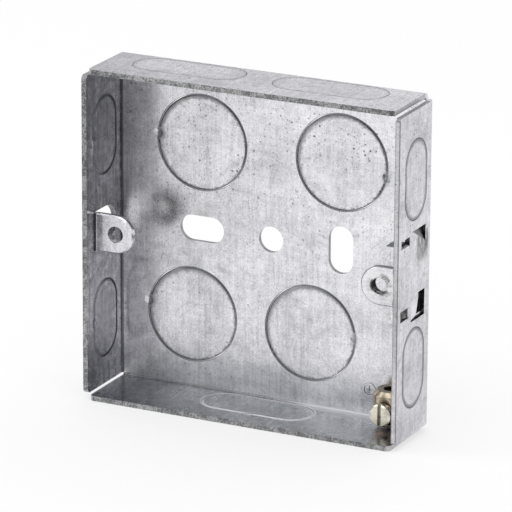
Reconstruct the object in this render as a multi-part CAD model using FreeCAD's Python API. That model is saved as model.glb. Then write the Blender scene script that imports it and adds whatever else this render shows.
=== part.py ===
import FreeCAD, Part
import os

# Flush back box of folded galvanised steel, in millimetres
# X runs to the right, Y into the wall and Z up, from the centre of the back face
# A setback is a distance behind the front edge of the walls

# Folded sheet
box_width = 72.0
box_height = 72.0
box_depth = 16.6
sheet = 1.1
bend_radius = 0.45
corner_gap = 0.35
wall_corner_radius = 1.0

# Knock-outs, each held by one tie in a sheared outline
base_shear_gap = 0.16
wall_shear_gap = 0.1
tie_width = 2.6
tie_dent_radius = 1.1
tie_dent_depth = 0.2
rolled_rim_width = 0.35
rolled_rim_depth = 0.2
base_slug_diameter = 20.5
upper_slug_height = 18.8
lower_slug_height = -19.0
upper_slug_offset = 16.0
lower_left_slug_offset = -18.2
lower_right_slug_offset = 9.2
upper_left_tie_shift = 0.8
upper_right_tie_shift = -1.8
lower_left_tie_shift = 1.6
lower_right_tie_shift = 0.4
side_slug_length = 16.8
side_slug_width = 10.2
side_slug_offset = 20.0
side_slug_setback = 8.0
edge_slug_length = 25.0
edge_slug_width = 9.5
edge_slug_setback = 9.7
top_slug_offset = 16.0

# Fixing holes in the base
fixing_hole_diameter = 5.6
fixing_slot_length = 10.2
fixing_pitch = 16.0

# Lugs for the face plate's screws
lug_hole_distance = 4.75
lug_setback = 3.6
lug_radius = 4.1
lug_thread_radius = 1.75
lug_bend_radius = 0.5
lug_edge_chamfer = 0.25
collar_wall = 0.75
collar_depth = 1.0
lance_gap = 0.25
lance_relief = 0.6
lance_length = 9.85

# Adjustable lug
slider_sheet = 1.2
slider_clearance = 0.06
slider_travel = 2.15
slider_stop_clearance = 0.05
slider_neck_start = 8.6
slider_neck_end = 10.3
slider_foot_clearance = 0.65
slider_neck_half = 3.1
slider_foot_drop = 7.6
slider_foot_corner = 0.6

# Stop tabs and corner flaps that guide the adjustable lug, on the right wall
stop_window_height = 2.3
stop_window_start = 1.3
stop_window_end = 5.4
shelf_reach = 2.25
swung_tab_angle = 20.0
swung_tab_gap = 0.15
flap_start = 6.5
guide_slot_end = 13.1
upper_flap_end = 12.9
upper_flap_reach = 9.1
upper_flap_root = 5.6
upper_flap_slit = 0.2
upper_flap_angle = 18.0
lower_flap_end = 10.0
lower_flap_reach = 9.45
lower_flap_root = 5.5
lower_flap_slit = 0.5
lower_flap_angle = 10.0
lower_slot_root = 4.4

# Brass earth terminal
terminal_radius = 3.65
terminal_wall_distance = 5.7
terminal_lift = 0.9
terminal_height = 7.0
terminal_shoulder = 0.8
terminal_flat = 0.4
wire_bore_radius = 1.5
clamp_hole_rise = 2.8
clamp_hole_radius = 1.75
rivet_radius = 1.58
rivet_clearance = 0.02
rivet_recess = 0.1

# Brass earth screw
screw_clearance = 0.05
screw_head_radius = 2.4
screw_head_depth = 1.6
screw_head_chamfer = 0.25
screw_head_lift = 0.4
screw_slot_width = 0.8
screw_slot_depth = 0.8
screw_reach = 1.2

# Positions that follow from the sizes above
front = -box_depth
half_width = box_width / 2
half_height = box_height / 2
inner_x = half_width - sheet
inner_z = half_height - sheet
base_face = -sheet
lug_x = inner_x - lug_hole_distance
lug_face = front + lug_setback
stop_height = slider_travel + lug_radius + slider_stop_clearance
foot_end = base_face - bend_radius - slider_foot_clearance
terminal_x = inner_x - terminal_wall_distance
terminal_bottom = terminal_lift - inner_z
terminal_top = terminal_bottom + terminal_height
clamp_hole_height = terminal_bottom + clamp_hole_rise
overshoot = 1.0
match = 1e-6


def vector(x, y, z):
    """Point or direction."""
    return FreeCAD.Vector(x, y, z)


def block(low, high):
    """Box between two opposite corners."""
    size = [top - bottom for bottom, top in zip(low, high)]
    return Part.makeBox(*size, vector(*low))


def rod(start, axis, radius, length):
    """Round bar from a start point along an axis."""
    return Part.makeCylinder(radius, length, vector(*start), vector(*axis))


def prism(outline, sweep):
    """Solid swept from a closed flat outline of points."""
    corners = [vector(*point) for point in outline]
    face = Part.Face(Part.makePolygon(corners + corners[:1]))
    return face.extrude(vector(*sweep))


def trough(half_span, half_run, mouth, back, radius):
    """Bar along Z with its two back corners rounded."""
    bar = block((-half_span, mouth, -half_run), (half_span, back, half_run))
    corners = []
    for edge in bar.Edges:
        first, last = edge.Vertexes
        upright = abs(first.X - last.X) < match and abs(first.Y - last.Y) < match
        if upright and abs(first.Y - back) < match:
            corners.append(edge)
    return bar.makeFillet(radius, corners)


def pan(half_x, half_z, mouth, back, radius):
    """Block with all four back edges rounded along straight bends."""
    upright = trough(half_x, half_z, mouth, back, radius)
    level = trough(half_z, half_x, mouth, back, radius)
    level.rotate(vector(0, 0, 0), vector(0, 1, 0), 90)
    return upright.common(level)


def obround(length, width, level):
    """Closed round-ended outline, a circle when the length equals the width."""
    radius = width / 2
    reach = length / 2 - radius
    if reach < match:
        circle = Part.Circle(vector(0, 0, level), vector(0, 0, 1), radius)
        return Part.Wire(circle.toShape())
    corners = [
        vector(-reach, -radius, level),
        vector(reach, -radius, level),
        vector(reach, radius, level),
        vector(-reach, radius, level),
    ]
    right_end = Part.Arc(corners[1], vector(reach + radius, 0, level), corners[2])
    left_end = Part.Arc(corners[3], vector(-reach - radius, 0, level), corners[0])
    sides = [
        Part.LineSegment(corners[0], corners[1]),
        right_end,
        Part.LineSegment(corners[2], corners[3]),
        left_end,
    ]
    return Part.Wire([side.toShape() for side in sides])


def obround_bar(length, width, low, high):
    """Round-ended bar between two levels."""
    face = Part.Face(obround(length, width, low))
    return face.extrude(vector(0, 0, high - low))


def placed(shape, origin, across, through):
    """Shape set on a wall, its second axis across and its third axis out through the sheet."""
    across = vector(*across)
    through = vector(*through)
    along = across.cross(through)
    matrix = FreeCAD.Matrix(
        along.x, across.x, through.x, origin[0],
        along.y, across.y, through.y, origin[1],
        along.z, across.z, through.z, origin[2],
        0, 0, 0, 1,
    )
    moved = shape.copy()
    moved.Placement = FreeCAD.Placement(matrix)
    return moved


def slug_tools(length, width, gap, tie_shift):
    """Cutters for one knock-out: its sheared outline with a rolled rim, and the dent in its tie."""
    far = sheet + overshoot
    outline = obround_bar(length + 2 * gap, width + 2 * gap, -overshoot, far)
    slug = obround_bar(length, width, rolled_rim_depth, far)
    rim_foot = obround(length, width, rolled_rim_depth)
    rim_top = obround(length - 2 * rolled_rim_width, width - 2 * rolled_rim_width, 0)
    rim = Part.makeLoft([rim_foot, rim_top], True, True)
    tie_low = (tie_shift - tie_width / 2, width / 2 - 2 * rolled_rim_width, -overshoot)
    tie_high = (tie_shift + tie_width / 2, width / 2 + 2 * gap, far)
    ring = outline.cut(slug).cut(rim).cut(block(tie_low, tie_high))
    ball_radius = (tie_dent_radius ** 2 + tie_dent_depth ** 2) / (2 * tie_dent_depth)
    ball_centre = vector(tie_shift, width / 2, tie_dent_depth - ball_radius)
    return [ring, Part.makeSphere(ball_radius, ball_centre)]


def base_knock_out(tie_shift, origin, across):
    """Cutters for one round knock-out, set on the base."""
    tools = slug_tools(base_slug_diameter, base_slug_diameter, base_shear_gap, tie_shift)
    return [placed(tool, origin, across, (0, 1, 0)) for tool in tools]


def wall_knock_out(length, width, origin, through):
    """Cutters for one round-ended knock-out, set on its wall with the tie towards the front edge."""
    tools = slug_tools(length, width, wall_shear_gap, 0)
    return [placed(tool, origin, (0, -1, 0), through) for tool in tools]


def base_knock_outs():
    """Four round knock-outs in the base, with ties to the left or right."""
    rows = (
        (-upper_slug_offset, upper_slug_height, -1, upper_left_tie_shift),
        (upper_slug_offset, upper_slug_height, 1, upper_right_tie_shift),
        (lower_left_slug_offset, lower_slug_height, -1, lower_left_tie_shift),
        (lower_right_slug_offset, lower_slug_height, 1, lower_right_tie_shift),
    )
    tools = []
    for x, z, side, shift in rows:
        tools += base_knock_out(side * shift, (x, base_face, z), (side, 0, 0))
    return tools


def wall_knock_outs():
    """Round-ended knock-outs in the four walls."""
    side_y = front + side_slug_setback
    edge_y = front + edge_slug_setback
    tools = []
    for side in (-1, 1):
        for z in (-side_slug_offset, side_slug_offset):
            origin = (side * inner_x, side_y, z)
            tools += wall_knock_out(side_slug_length, side_slug_width, origin, (side, 0, 0))
    for x in (-top_slug_offset, top_slug_offset):
        origin = (x, edge_y, inner_z)
        tools += wall_knock_out(edge_slug_length, edge_slug_width, origin, (0, 0, 1))
    origin = (0, edge_y, -inner_z)
    tools += wall_knock_out(edge_slug_length, edge_slug_width, origin, (0, 0, -1))
    return tools


def fixing_holes():
    """Level slot, round hole and upright slot across the middle of the base."""
    far = sheet + overshoot
    level_slot = obround_bar(fixing_slot_length, fixing_hole_diameter, -overshoot, far)
    round_hole = obround_bar(fixing_hole_diameter, fixing_hole_diameter, -overshoot, far)
    return [
        placed(level_slot, (-fixing_pitch, base_face, 0), (0, 0, 1), (0, 1, 0)),
        placed(round_hole, (0, base_face, 0), (0, 0, 1), (0, 1, 0)),
        placed(level_slot, (fixing_pitch, base_face, 0), (1, 0, 0), (0, 1, 0)),
    ]


def quarter_bend(x, y, inner, outer, side_x, side_y, half_run):
    """Quarter of an upright tube, on the named sides of its axis."""
    start = (x, y, -half_run)
    run = 2 * half_run
    tube = rod(start, (0, 0, 1), outer, run).cut(rod(start, (0, 0, 1), inner, run))
    spread_x = sorted((x, x + side_x * outer))
    spread_y = sorted((y, y + side_y * outer))
    low = (spread_x[0], spread_y[0], -half_run)
    high = (spread_x[1], spread_y[1], half_run)
    return tube.common(block(low, high))


def tongue(root_x, hole_x, thickness):
    """Flat tab with a softened front edge, a round end about its hole and a collar behind it."""
    spread = sorted((root_x, hole_x))
    low = (spread[0], lug_face, -lug_radius)
    high = (spread[1], lug_face + thickness, lug_radius)
    end = rod((hole_x, lug_face, 0), (0, 1, 0), lug_radius, thickness)
    tab = block(low, high).fuse(end).removeSplitter()
    rim = []
    for edge in tab.Edges:
        on_face = all(abs(vertex.Y - lug_face) < match for vertex in edge.Vertexes)
        at_root = all(abs(vertex.X - root_x) < match for vertex in edge.Vertexes)
        if on_face and not at_root:
            rim.append(edge)
    tab = tab.makeChamfer(lug_edge_chamfer, rim)
    start = (hole_x, lug_face + thickness / 2, 0)
    length = thickness / 2 + collar_depth
    return tab.fuse(rod(start, (0, 1, 0), lug_thread_radius + collar_wall, length))


def thread_hole(hole_x, thickness):
    """Cutter for a tapped hole, through a lug and its collar."""
    start = (hole_x, lug_face - overshoot, 0)
    length = thickness + collar_depth + 2 * overshoot
    return rod(start, (0, 1, 0), lug_thread_radius, length)


def fixed_lug():
    """Tab turned in from the left wall, with its hole plunged and tapped."""
    root_x = lug_bend_radius - inner_x
    bend_y = lug_face - lug_bend_radius
    bend = quarter_bend(root_x, bend_y, lug_bend_radius, lug_bend_radius + sheet, -1, 1, lug_radius)
    tab = bend.fuse(tongue(root_x, -lug_x, sheet))
    return tab.cut(thread_hole(-lug_x, sheet))


def lance_window():
    """Round-ended opening that the fixed lug leaves in the left wall, with a relief slit at each bend end."""
    half = lug_radius + lance_gap
    start = lug_face - lug_bend_radius
    centre = start + lance_length - half
    low_x = -half_width - overshoot
    high_x = overshoot - inner_x
    opening = block((low_x, start, -half), (high_x, centre, half))
    end = rod((low_x, centre, 0), (1, 0, 0), half, high_x - low_x)
    tools = [opening.fuse(end)]
    for low_z, high_z in ((-half, -lug_radius), (lug_radius, half)):
        tools.append(block((low_x, start - lance_relief, low_z), (high_x, start, high_z)))
    return tools


def stop_windows():
    """Two openings in the right wall, above and below the adjustable lug."""
    start = front + stop_window_start
    end = front + stop_window_end
    top = stop_height + stop_window_height
    tools = []
    for low_z, high_z in ((stop_height, top), (-top, -stop_height)):
        low = (inner_x - overshoot, start, low_z)
        tools.append(block(low, (half_width + overshoot, end, high_z)))
    return tools


def stop_tabs():
    """Level shelf folded in above the adjustable lug, and a tab swung in below it."""
    start = front + stop_window_start
    end = front + stop_window_end
    shelf = block((inner_x - shelf_reach, start, stop_height), (inner_x, end, stop_height + sheet))
    fold = rod((inner_x, start, stop_height), (0, 1, 0), sheet, end - start)
    corner = block((inner_x, start, stop_height), (half_width, end, stop_height + sheet))
    low = (inner_x, start + swung_tab_gap, swung_tab_gap - stop_height - stop_window_height)
    swung = block(low, (half_width, end, -stop_height - swung_tab_gap))
    swung.rotate(vector(half_width, end, 0), vector(0, 0, 1), -swung_tab_angle)
    return [shelf, fold.common(corner), swung]


def guide_cuts():
    """Openings in the right wall round the two corner flaps, the lower one with a slot behind its flap."""
    upper_edge = upper_flap_reach + upper_flap_slit
    lower_edge = lower_flap_reach + lower_flap_slit
    upper = (
        (flap_start, upper_flap_reach),
        (flap_start, upper_edge),
        (guide_slot_end, upper_edge),
        (guide_slot_end, upper_flap_root),
        (upper_flap_end, upper_flap_root),
    )
    lower = (
        (flap_start, -lower_flap_reach),
        (flap_start, -lower_edge),
        (guide_slot_end, -lower_edge),
        (guide_slot_end, -lower_slot_root),
        (lower_flap_end, -lower_slot_root),
        (lower_flap_end, -lower_flap_root),
    )
    tools = []
    for outline in (upper, lower):
        points = [(inner_x - overshoot, front + y, z) for y, z in outline]
        tools.append(prism(points, (sheet + 2 * overshoot, 0, 0)))
    return tools


def corner_flaps():
    """Three-cornered flaps pressed in from the right wall, one above the lug's foot and one in front of it."""
    rows = (
        (1, upper_flap_end, upper_flap_reach, upper_flap_root, upper_flap_angle),
        (-1, lower_flap_end, lower_flap_reach, lower_flap_root, lower_flap_angle),
    )
    flaps = []
    for side, end, reach, root, angle in rows:
        crease_start = vector(half_width, front + flap_start, side * reach)
        crease_end = vector(half_width, front + end, side * root)
        outline = ((flap_start, reach), (end, reach), (end, root))
        points = [(inner_x, front + y, side * z) for y, z in outline]
        flap = prism(points, (sheet, 0, 0))
        flap.rotate(crease_start, crease_end - crease_start, -side * angle)
        flaps.append(flap)
    return flaps


def folded_pan():
    """Base and four walls, with open corners and rounded wall ends."""
    outer = pan(half_width, half_height, front, 0, bend_radius + sheet)
    inner = pan(inner_x, inner_z, front - overshoot, base_face, bend_radius)
    shell = outer.cut(inner)
    notches = []
    for side_x in (-1, 1):
        for side_z in (-1, 1):
            spread_x = sorted((side_x * (inner_x - corner_gap), side_x * (half_width + overshoot)))
            spread_z = sorted((side_z * (inner_z - corner_gap), side_z * (half_height + overshoot)))
            low = (spread_x[0], front - overshoot, spread_z[0])
            notches.append(block(low, (spread_x[1], overshoot, spread_z[1])))
    shell = shell.cut(notches)
    corners = []
    for edge in shell.Edges:
        level = all(abs(vertex.Y - front) < match for vertex in edge.Vertexes)
        if level and abs(edge.Length - sheet) < match:
            corners.append(edge)
    return shell.makeFillet(wall_corner_radius, corners)


def box_shell():
    """Folded box with its knock-outs, holes, fixed lug and lug guide."""
    shell = folded_pan()
    rivet_hole = rod(
        (terminal_x, base_face - overshoot, clamp_hole_height),
        (0, 1, 0),
        rivet_radius + rivet_clearance,
        sheet + 2 * overshoot,
    )
    tools = base_knock_outs() + wall_knock_outs() + fixing_holes()
    tools += lance_window() + stop_windows() + guide_cuts() + [rivet_hole]
    shell = shell.cut(tools)
    return shell.fuse([fixed_lug()] + stop_tabs() + corner_flaps()).removeSplitter()


def adjustable_lug():
    """Bent lug with a plunged, tapped hole and a hooked foot, at the bottom of its travel."""
    back_x = inner_x - slider_clearance
    outer = lug_bend_radius + slider_sheet
    axis_x = back_x - outer
    axis_y = lug_face + outer
    bend = quarter_bend(axis_x, axis_y, lug_bend_radius, outer, 1, -1, lug_radius)
    tab = tongue(axis_x, lug_x, slider_sheet)
    outline = (
        (axis_y, lug_radius),
        (front + slider_neck_start, lug_radius),
        (front + slider_neck_start, slider_neck_half),
        (foot_end, slider_neck_half),
        (foot_end, slider_foot_corner - slider_foot_drop),
        (foot_end - slider_foot_corner, -slider_foot_drop),
        (front + slider_neck_end, -slider_foot_drop),
        (front + slider_neck_end, -slider_neck_half),
        (front + slider_neck_start, -slider_neck_half),
        (front + slider_neck_start, -lug_radius),
        (axis_y, -lug_radius),
    )
    points = [(back_x - slider_sheet, y, z) for y, z in outline]
    leg = prism(points, (slider_sheet, 0, 0))
    lug = tab.fuse([bend, leg])
    lug = lug.cut(thread_hole(lug_x, slider_sheet)).removeSplitter()
    lug.translate(vector(0, 0, -slider_travel))
    return lug


def terminal_axis_y():
    """Depth of the pillar's axis, with its flat seated on the base."""
    return base_face - terminal_radius + terminal_flat


def earth_terminal():
    """Upright brass pillar with a wire bore and a tapped cross hole, riveted through the base."""
    axis_y = terminal_axis_y()
    pillar = rod((terminal_x, axis_y, terminal_bottom), (0, 0, 1), terminal_radius, terminal_height)
    rims = [edge for edge in pillar.Edges if len(edge.Vertexes) == 1]
    pillar = pillar.makeChamfer(terminal_shoulder, rims)
    reach = terminal_radius + overshoot
    behind_low = (terminal_x - reach, base_face, terminal_bottom - overshoot)
    behind_high = (terminal_x + reach, base_face + reach, terminal_top + overshoot)
    pillar = pillar.cut(block(behind_low, behind_high))
    wall = terminal_radius - terminal_flat - wire_bore_radius
    rivet_start = (terminal_x, base_face - wall / 2, clamp_hole_height)
    rivet_length = wall / 2 + sheet - rivet_recess
    pillar = pillar.fuse(rod(rivet_start, (0, 1, 0), rivet_radius, rivet_length))
    bore_start = (terminal_x, axis_y, terminal_bottom - overshoot)
    bore = rod(bore_start, (0, 0, 1), wire_bore_radius, terminal_height + 2 * overshoot)
    clamp_start = (terminal_x, axis_y - terminal_radius - overshoot, clamp_hole_height)
    clamp = rod(clamp_start, (0, 1, 0), clamp_hole_radius, terminal_radius + overshoot)
    return pillar.cut([bore, clamp]).removeSplitter()


def earth_screw():
    """Slotted cheese-head screw in the terminal's cross hole."""
    under_head = terminal_axis_y() - terminal_radius - screw_head_lift
    face = under_head - screw_head_depth
    tip = terminal_axis_y() - wire_bore_radius + screw_reach
    head = rod((terminal_x, face, clamp_hole_height), (0, 1, 0), screw_head_radius, screw_head_depth)
    rim = []
    for edge in head.Edges:
        if len(edge.Vertexes) == 1 and abs(edge.Vertexes[0].Y - face) < match:
            rim.append(edge)
    head = head.makeChamfer(screw_head_chamfer, rim)
    shank_radius = clamp_hole_radius - screw_clearance
    shank = rod((terminal_x, under_head, clamp_hole_height), (0, 1, 0), shank_radius, tip - under_head)
    reach = screw_head_radius + overshoot
    slot_low = (terminal_x - screw_slot_width / 2, face - overshoot, clamp_hole_height - reach)
    slot_high = (terminal_x + screw_slot_width / 2, face + screw_slot_depth, clamp_hole_height + reach)
    return head.fuse(shank).cut(block(slot_low, slot_high)).removeSplitter()


pieces = {
    "box_shell": box_shell(),
    "adjustable_lug": adjustable_lug(),
    "earth_terminal": earth_terminal(),
    "earth_screw": earth_screw(),
}
os.makedirs("parts", exist_ok=True)
for name, shape in pieces.items():
    shape.Solids[0].exportStep(os.path.join("parts", name + ".step"))
    print(name, len(shape.Solids), shape.isValid(), round(shape.Volume, 2), shape.BoundBox)
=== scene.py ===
"""Looks of a flush back box: galvanised sheet, turned brass, lug threads, earth sign and studio."""

import functools
import logging
import math
import operator
from dataclasses import dataclass, field
from enum import Enum
from typing import Any, Dict, List, Sequence, Tuple, Union

import bmesh
import bpy
from mathutils import Matrix, Vector


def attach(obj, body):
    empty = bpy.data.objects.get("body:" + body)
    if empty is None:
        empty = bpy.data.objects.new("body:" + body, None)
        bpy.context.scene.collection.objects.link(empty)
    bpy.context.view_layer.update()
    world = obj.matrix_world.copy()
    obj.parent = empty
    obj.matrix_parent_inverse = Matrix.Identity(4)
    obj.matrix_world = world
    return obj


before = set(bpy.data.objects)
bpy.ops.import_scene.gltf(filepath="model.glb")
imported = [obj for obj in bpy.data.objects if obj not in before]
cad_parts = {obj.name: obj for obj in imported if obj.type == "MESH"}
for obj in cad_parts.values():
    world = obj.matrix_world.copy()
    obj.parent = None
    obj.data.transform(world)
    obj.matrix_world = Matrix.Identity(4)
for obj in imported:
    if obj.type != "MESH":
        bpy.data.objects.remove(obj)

LOG = logging.getLogger("back_box")
MM = 0.001
Socket = bpy.types.NodeSocket
Pair = Tuple[float, float]
Colour = Tuple[float, float, float]
Point = Tuple[float, float, float]
RELIEF_DEPTH = 0.00003


class Turning(Enum):
    """Axis that a turned piece was made about."""

    UPRIGHT = "Z"
    INTO_WALL = "Y"


@dataclass(frozen=True)
class Value:
    """A number that changes over a surface: one output of a shader node."""

    desk: "ShaderDesk"
    socket: Socket

    def __add__(self, other: "Operand") -> "Value":
        """Sum with a number or another value."""
        return self.desk.math("ADD", self, other)

    def __radd__(self, other: "Operand") -> "Value":
        """Sum with a number on the left."""
        return self.desk.math("ADD", other, self)

    def __sub__(self, other: "Operand") -> "Value":
        """Difference from a number or another value."""
        return self.desk.math("SUBTRACT", self, other)

    def __rsub__(self, other: "Operand") -> "Value":
        """Difference from a number on the left."""
        return self.desk.math("SUBTRACT", other, self)

    def __mul__(self, other: "Operand") -> "Value":
        """Product with a number or another value."""
        return self.desk.math("MULTIPLY", self, other)

    def __rmul__(self, other: "Operand") -> "Value":
        """Product with a number on the left."""
        return self.desk.math("MULTIPLY", other, self)

    def __truediv__(self, other: "Operand") -> "Value":
        """Quotient by a number or another value."""
        return self.desk.math("DIVIDE", self, other)

    def __rtruediv__(self, other: "Operand") -> "Value":
        """Quotient of a number on the left."""
        return self.desk.math("DIVIDE", other, self)

    def __abs__(self) -> "Value":
        """Size without its sign."""
        return self.desk.math("ABSOLUTE", self)

    def root(self) -> "Value":
        """Square root."""
        return self.desk.math("SQRT", self)

    def sine(self) -> "Value":
        """Sine of a value in radians."""
        return self.desk.math("SINE", self)

    def over(self, other: "Operand") -> "Value":
        """Larger of two values."""
        return self.desk.math("MAXIMUM", self, other)

    def under(self, other: "Operand") -> "Value":
        """Smaller of two values."""
        return self.desk.math("MINIMUM", self, other)

    def rise(self, low: float, high: float) -> "Value":
        """Smooth step from 0 at the low value to 1 at the high one."""
        sockets = {"Value": self, "From Min": low, "From Max": high}
        return self.desk.value("ShaderNodeMapRange", {"interpolation_type": "SMOOTHSTEP"}, sockets)

    def fall(self, low: float, high: float) -> "Value":
        """Smooth step from 1 at the low value to 0 at the high one."""
        return 1.0 - self.rise(low, high)

    def within(self, *ends: float) -> "Value":
        """Mask of a stretch with soft ends.

        Args:
            ends: Where the mask is 0 and where it is 1, then for a far end where it is still 1 and 0 again.

        Returns:
            The mask.
        """
        near, far = ends[:2], ends[2:]
        mask = self.rise(*near) if near[0] < near[1] else self.fall(near[1], near[0])
        return mask * self.fall(*far) if far else mask


Operand = Union[Value, float, int]


def radius_of(u: Value, v: Value) -> Value:
    """Distance from an axis, from two offsets at right angles."""
    return (u * u + v * v).root()


def largest(masks: Sequence[Value]) -> Value:
    """Largest of several masks at each point."""
    return functools.reduce(Value.over, masks)


def swing(*parts: Tuple[Value, float]) -> Value:
    """Sum of noises about their middle, each with its weight."""
    return functools.reduce(operator.add, [(noise - 0.5) * weight for noise, weight in parts])


@dataclass(frozen=True)
class Spot:
    """A shaded point: its place on the object in millimetres and the way that its surface faces."""

    desk: "ShaderDesk"
    x: Value
    y: Value
    z: Value
    nx: Value
    ny: Value
    nz: Value
    solid: Socket


@dataclass(frozen=True)
class Patch:
    """Soft-edged place on the object: the ends of its stretch along each axis, in millimetres."""

    x: Tuple[float, ...] = ()
    y: Tuple[float, ...] = ()
    z: Tuple[float, ...] = ()

    def mask(self, spot: Spot) -> Value:
        """Mask that is 1 inside the place."""
        axes = ((spot.x, self.x), (spot.y, self.y), (spot.z, self.z))
        return functools.reduce(operator.mul, [distance.within(*ends) for distance, ends in axes if ends])


class NodeDesk:
    """Node tree with one call that adds any node."""

    def __init__(self, tree: bpy.types.NodeTree) -> None:
        """Takes a tree to add to."""
        self.tree = tree

    def node(self, kind: str, settings: Dict[str, Any], sockets: Dict[Any, Any]) -> bpy.types.Node:
        """Adds one node.

        Args:
            kind: Blender's name of the node type.
            settings: Properties of the node, set first.
            sockets: Input name or number to a value, a socket or a constant.

        Returns:
            The new node.
        """
        made = self.tree.nodes.new(kind)
        for key, setting in settings.items():
            setattr(made, key, setting)
        for key, content in sockets.items():
            source = content.socket if isinstance(content, Value) else content
            if isinstance(source, Socket):
                self.tree.links.new(source, made.inputs[key])
            else:
                made.inputs[key].default_value = source
        return made


class ShaderDesk(NodeDesk):
    """Node tree of a material or of the surround, with the calls that the finishes are written in."""

    def __init__(self, owner: Union[bpy.types.Material, bpy.types.World]) -> None:
        """Empties the owner's tree.

        Args:
            owner: Material or surround that the tree belongs to.
        """
        owner.use_nodes = True
        owner.node_tree.nodes.clear()
        super().__init__(owner.node_tree)
        self.owner = owner

    def value(self, kind: str, settings: Dict[str, Any], sockets: Dict[Any, Any], output: Any = 0) -> Value:
        """Adds one node and takes one of its outputs as a value."""
        return Value(self, self.node(kind, settings, sockets).outputs[output])

    def math(self, operation: str, first: Operand, second: Operand = 0.0) -> Value:
        """Adds one Math node on two operands."""
        return self.value("ShaderNodeMath", {"operation": operation}, {0: first, 1: second})

    def split(self, vector: Socket) -> List[Value]:
        """Three components of a vector socket."""
        parts = self.node("ShaderNodeSeparateXYZ", {}, {0: vector})
        return [Value(self, output) for output in parts.outputs]

    def vector(self, x: Operand, y: Operand, z: Operand = 0.0) -> Socket:
        """Joins three components."""
        return self.node("ShaderNodeCombineXYZ", {}, {0: x, 1: y, 2: z}).outputs[0]

    def spot(self) -> Spot:
        """Reads the point that is being shaded.

        Returns:
            Its place and facing.
        """
        where = self.node("ShaderNodeTexCoord", {}, {}).outputs
        x, y, z = [part / MM for part in self.split(where["Object"])]
        return Spot(self, x, y, z, *self.split(where["Normal"]), self.vector(x, y, z))

    def noise(
        self, vector: Socket, scale: float, detail: float = 3.0, rough: float = 0.55
    ) -> Value:
        """Soft noise from 0 to 1.

        Args:
            vector: Where it is read.
            scale: Cells for each unit of the vector.
            detail: Number of finer layers.
            rough: Share of the finer layers.

        Returns:
            The noise as a value.
        """
        sockets = {"Vector": vector, "Scale": scale, "Detail": detail, "Roughness": rough}
        return self.value("ShaderNodeTexNoise", {}, sockets, "Fac")

    def dots(self, across: Value, along: Value, scale: float, radius: float, share: float) -> Value:
        """Scattered marks of uneven outline and darkness in a plane.

        Args:
            across: First distance in the plane.
            along: Second distance in the plane.
            scale: Cells for each unit of distance.
            radius: Radius of a mark as a share of a cell.
            share: Share of the cells that have a mark.

        Returns:
            A mask of up to 1 inside the marks.
        """
        flat = self.vector(across, along)
        bend = 0.3 / scale
        wander = (self.noise(flat, 2.6 * scale) - 0.5) * bend
        sockets = {"Vector": self.vector(across + wander, along - wander), "Scale": scale}
        cells = self.node("ShaderNodeTexVoronoi", {"voronoi_dimensions": "2D"}, sockets)
        chance = self.split(cells.outputs["Color"])
        size = (0.35 + chance[1] * 0.65) * radius
        inside = (Value(self, cells.outputs["Distance"]) - size).fall(-0.4 * radius, 0.15 * radius)
        return inside * chance[0].rise(1.0 - share, 1.02 - share) * (0.3 + chance[2] * 0.7)

    @staticmethod
    def colour(content: Any) -> Any:
        """Constant colour with its alpha, or a socket as it is."""
        return content if isinstance(content, Socket) else (*content, 1.0)

    def blend(self, factor: Operand, first: Any, second: Any) -> Socket:
        """Mixes two colours.

        Args:
            factor: Share of the second colour.
            first: Colour or colour socket.
            second: Colour or colour socket.

        Returns:
            The mixed colour's socket.
        """
        settings = {"data_type": "RGBA", "clamp_factor": True}
        sockets = {0: factor, 6: self.colour(first), 7: self.colour(second)}
        return self.node("ShaderNodeMix", settings, sockets).outputs[2]

    def coats(self, base: Any, *layers: Tuple[Operand, Any]) -> Socket:
        """Lays colours over a base.

        Args:
            base: Colour or colour socket.
            layers: Mask and colour of each layer, from the lowest up.

        Returns:
            The top colour's socket.
        """
        for mask, tint in layers:
            base = self.blend(mask, base, tint)
        return base

    def surface(self, shader: Socket) -> bpy.types.Material:
        """Ends a material's tree in a shader."""
        self.node("ShaderNodeOutputMaterial", {}, {"Surface": shader})
        return self.owner

    def metal(self, colour: Any, rough: Operand, height: Value, strength: float) -> bpy.types.Material:
        """Ends the tree in a metal surface.

        Args:
            colour: Base colour.
            rough: Roughness.
            height: Relief from 0 to 1.
            strength: Strength of the relief.

        Returns:
            The finished material.
        """
        relief = {"Height": height, "Distance": RELIEF_DEPTH, "Strength": strength}
        sockets = {
            "Base Color": self.colour(colour),
            "Metallic": 1.0,
            "Roughness": rough,
            "Normal": self.node("ShaderNodeBump", {}, relief).outputs["Normal"],
        }
        return self.surface(self.node("ShaderNodeBsdfPrincipled", {}, sockets).outputs["BSDF"])


@dataclass(frozen=True)
class Slug:
    """Outline of one knock-out, or of several that mirror each other, in millimetres, and the strength of
    its band of wear and painted shadow.
    """

    along: float
    across: float
    reach: float
    radius: float
    band_wear_and_shadow: float = 1.0
    face_wear: float = 0.0

    def depth(self, u: Value, v: Value) -> Value:
        """Distance inside the outline, less than 0 outside it."""
        past = (abs(u - self.along) - self.reach).over(0.0) if self.reach else u - self.along
        return self.radius - radius_of(past, v - self.across)


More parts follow.
